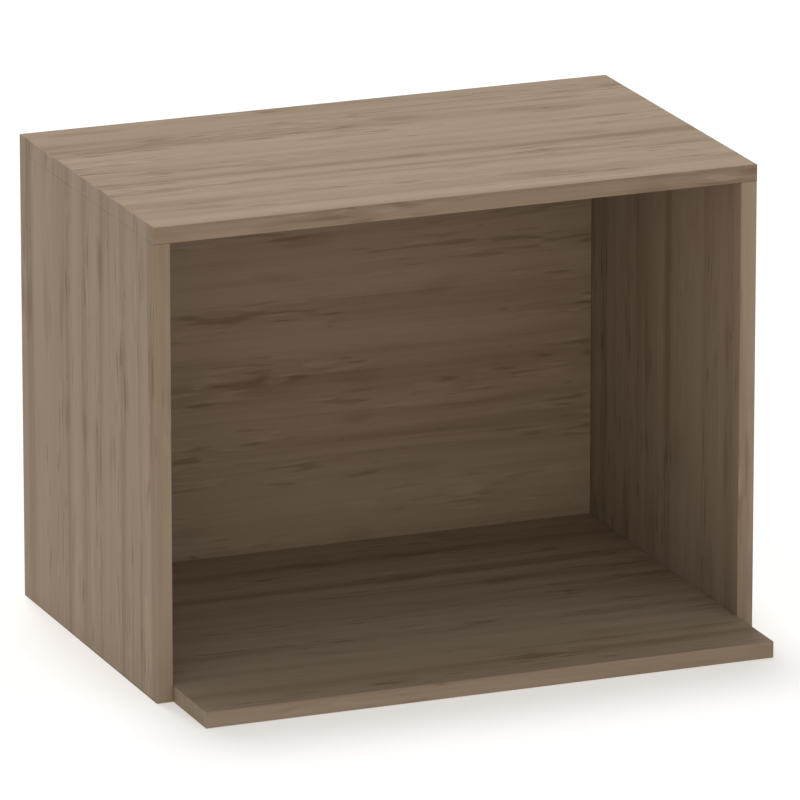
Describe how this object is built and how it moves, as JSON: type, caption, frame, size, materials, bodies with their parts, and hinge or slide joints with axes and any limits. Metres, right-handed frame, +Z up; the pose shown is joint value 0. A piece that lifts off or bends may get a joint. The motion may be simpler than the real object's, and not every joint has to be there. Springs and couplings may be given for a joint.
{
  "type": "microwave cabinet",
  "caption": "Open-fronted wood-effect cabinet for a countertop microwave: top over the sides, base shelf standing out in front, thin back panel with a cable outlet, rail for wall screws.",
  "frame": {"origin": "on the floor, in the middle of the outline seen from above: half the width, and halfway between the front edge of the base shelf and the rear edges of the sides", "axes": "+Z up, +Y towards the wall behind, -Y towards the user, +X to the right seen from the front"},
  "size_m": [0.6, 0.445, 0.455],
  "materials": {
    "decor_board": "matt grey-brown wood-effect melamine on chipboard",
    "edge_band": "matt grey-brown wood-effect edge band",
    "hardboard": "hardboard, wood-effect face inside, raw brown outside",
    "beech": "raw fluted beech",
    "zinc": "bright die-cast zinc",
    "steel": "zinc-plated steel",
    "cap_plastic": "matt brown moulded plastic"
  },
  "bodies": {
    "root": {"top_panel": "decor_board", "top_front_band": "edge_band", "top_left_band": "edge_band", "top_right_band": "edge_band", "left_side_panel": "decor_board", "left_side_front_band": "edge_band", "left_side_foot_band": "edge_band", "right_side_panel": "decor_board", "right_side_front_band": "edge_band", "right_side_foot_band": "edge_band", "base_panel": "decor_board", "base_front_band": "edge_band", "base_left_band": "edge_band", "base_right_band": "edge_band", "hanging_rail": "decor_board", "hanging_rail_band": "edge_band", "back_panel": "hardboard", "left_top_front_cam": "zinc", "left_top_front_bolt": "steel", "left_top_front_cap": "cap_plastic", "left_top_rear_cam": "zinc", "left_top_rear_bolt": "steel", "left_top_rear_cap": "cap_plastic", "left_base_front_cam": "zinc", "left_base_front_bolt": "steel", "left_base_rear_cam": "zinc", "left_base_rear_bolt": "steel", "left_rail_cam": "zinc", "left_rail_bolt": "steel", "right_top_front_cam": "zinc", "right_top_front_bolt": "steel", "right_top_front_cap": "cap_plastic", "right_top_rear_cam": "zinc", "right_top_rear_bolt": "steel", "right_top_rear_cap": "cap_plastic", "right_base_front_cam": "zinc", "right_base_front_bolt": "steel", "right_base_rear_cam": "zinc", "right_base_rear_bolt": "steel", "right_rail_cam": "zinc", "right_rail_bolt": "steel", "left_top_front_dowel": "beech", "left_top_rear_dowel": "beech", "left_base_front_dowel": "beech", "left_base_rear_dowel": "beech", "left_rail_dowel": "beech", "right_top_front_dowel": "beech", "right_top_rear_dowel": "beech", "right_base_front_dowel": "beech", "right_base_rear_dowel": "beech", "right_rail_dowel": "beech", "back_nail_top_1": "steel", "back_nail_top_2": "steel", "back_nail_base_1": "steel", "back_nail_base_2": "steel", "back_nail_base_3": "steel", "back_nail_left_side_1": "steel", "back_nail_left_side_2": "steel", "back_nail_right_side_1": "steel", "back_nail_right_side_2": "steel"}
  },
  "joints": []
}
